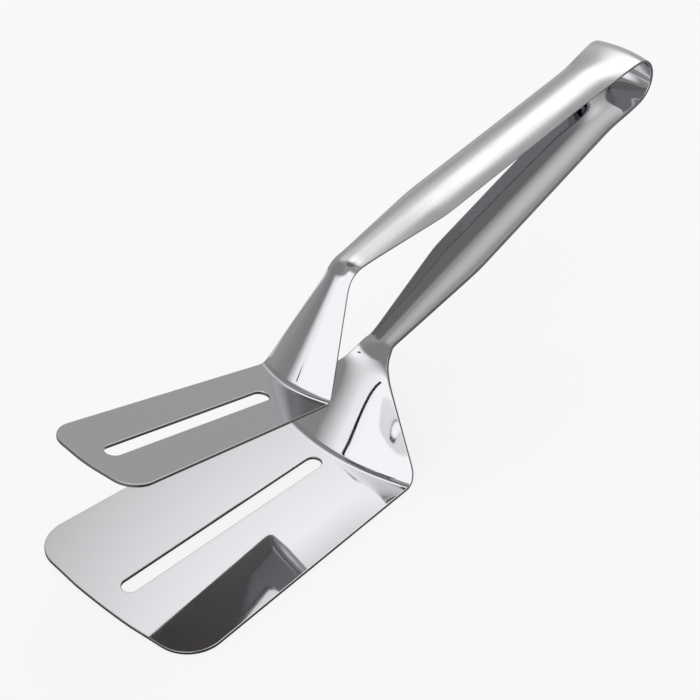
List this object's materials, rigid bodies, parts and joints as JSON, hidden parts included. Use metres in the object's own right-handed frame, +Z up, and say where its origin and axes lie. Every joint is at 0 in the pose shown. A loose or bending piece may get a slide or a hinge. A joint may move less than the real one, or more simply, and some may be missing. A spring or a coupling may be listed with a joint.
{
  "type": "spatula tongs",
  "caption": "Spatula tongs folded from a steel strip: a wide slotted lower blade and a narrower slotted upper blade on arched handles joined by a round spring bow.",
  "frame": {"origin": "middle of the bounding box, on the plane that the lower blade lies on", "axes": "+X from the spring bow to the blade tips, +Y across the blades, +Z up from the lower blade to the upper blade"},
  "size_m": [0.2635, 0.0774, 0.1009],
  "materials": {
    "bright_steel": "mirror-polished stainless steel",
    "satin_steel": "satin-brushed stainless steel"
  },
  "bodies": {
    "lower_arm": {"lower_blade": "bright_steel", "lower_neck": "bright_steel", "lower_handle": "bright_steel", "spring_bow_lower": "bright_steel"},
    "upper_arm": {"upper_blade": "bright_steel", "upper_neck": "bright_steel", "upper_handle": "satin_steel", "spring_bow_upper": "bright_steel"}
  },
  "joints": [
    {"name": "squeeze", "type": "hinge", "parent": "lower_arm", "child": "upper_arm", "pos_m": [-0.13064, 0, 0.0906], "axis": [0, 1, 0], "range_deg": [0, 12.8], "stiffness_Nm_per_rad": 5, "springref_deg": -1.16}
  ]
}
